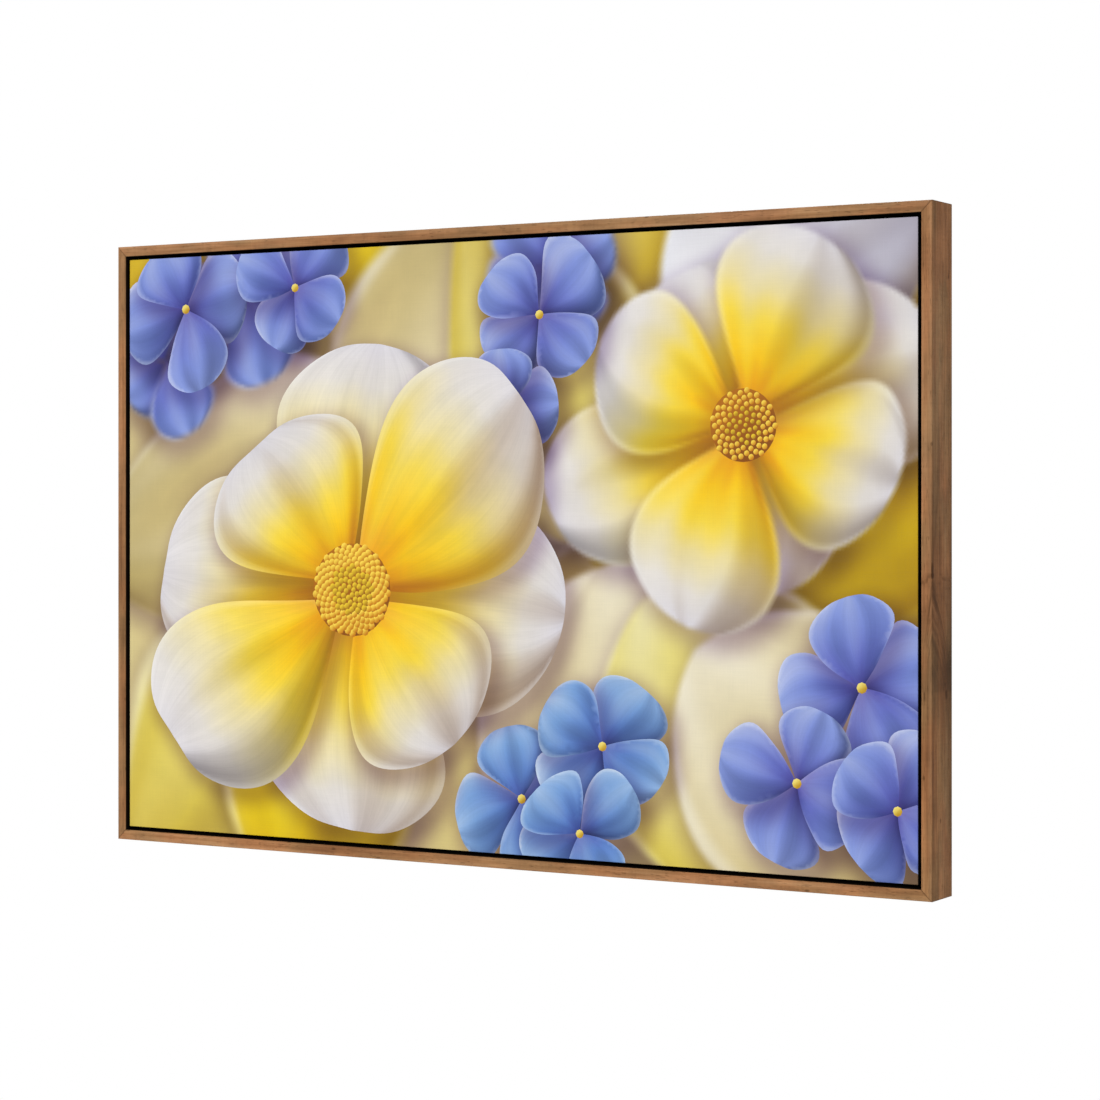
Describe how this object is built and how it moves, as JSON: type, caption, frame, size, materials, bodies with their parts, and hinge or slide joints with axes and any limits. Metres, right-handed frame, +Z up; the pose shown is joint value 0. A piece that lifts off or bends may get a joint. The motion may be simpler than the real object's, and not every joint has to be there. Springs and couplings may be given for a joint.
{
  "type": "framed canvas print",
  "caption": "Printed canvas stretched on timber bars, held in a floating timber frame with a shadow gap, with D-ring hangers behind.",
  "frame": {"origin": "on the wall plane, behind the middle of the picture; the wall bumpers' faces touch that plane", "axes": "+Z up, +Y from the picture towards the wall, so the printed face looks along -Y, and +X to the right as seen from the front"},
  "size_m": [0.928, 0.052, 0.628],
  "materials": {
    "frame_wood": "mid-brown timber, satin clear coat, black stained inside the gap",
    "stretcher_wood": "raw pale pine",
    "canvas": "woven canvas, printed in front, black at the sides, raw behind",
    "zinc_screw": "zinc plated",
    "nickel_plate": "nickel plated",
    "nail_steel": "plain steel strip",
    "bumper_rubber": "matt black"
  },
  "bodies": {
    "root": {"frame_top": "frame_wood", "frame_right": "frame_wood", "frame_bottom": "frame_wood", "frame_left": "frame_wood", "stretcher_top": "stretcher_wood", "stretcher_right": "stretcher_wood", "stretcher_bottom": "stretcher_wood", "stretcher_left": "stretcher_wood", "cross_brace": "stretcher_wood", "canvas": "canvas", "ledge_screw_top_1": "zinc_screw", "ledge_screw_top_2": "zinc_screw", "ledge_screw_right_1": "zinc_screw", "ledge_screw_right_2": "zinc_screw", "ledge_screw_bottom_1": "zinc_screw", "ledge_screw_bottom_2": "zinc_screw", "ledge_screw_left_1": "zinc_screw", "ledge_screw_left_2": "zinc_screw", "strap_screw_left_1": "nickel_plate", "strap_screw_left_2": "nickel_plate", "strap_screw_right_1": "nickel_plate", "strap_screw_right_2": "nickel_plate", "frame_nail_outer_top_left": "nail_steel", "frame_nail_inner_top_left": "nail_steel", "stretcher_nail_top_left": "nail_steel", "frame_nail_outer_top_right": "nail_steel", "frame_nail_inner_top_right": "nail_steel", "stretcher_nail_top_right": "nail_steel", "frame_nail_outer_bottom_right": "nail_steel", "frame_nail_inner_bottom_right": "nail_steel", "stretcher_nail_bottom_right": "nail_steel", "frame_nail_outer_bottom_left": "nail_steel", "frame_nail_inner_bottom_left": "nail_steel", "stretcher_nail_bottom_left": "nail_steel", "hanger_strap_left": "nickel_plate", "hanger_strap_right": "nickel_plate", "bumper_left": "bumper_rubber", "bumper_right": "bumper_rubber"},
    "ring_left": {"hanger_ring_left": "nickel_plate"},
    "ring_right": {"hanger_ring_right": "nickel_plate"}
  },
  "joints": [
    {"name": "ring_left_hinge", "type": "hinge", "parent": "root", "child": "ring_left", "pos_m": [-0.444, -0.00265, 0.17], "axis": [-1, 0, 0], "range_deg": [0, 180]},
    {"name": "ring_right_hinge", "type": "hinge", "parent": "root", "child": "ring_right", "pos_m": [0.444, -0.00265, 0.17], "axis": [-1, 0, 0], "range_deg": [0, 180]}
  ]
}
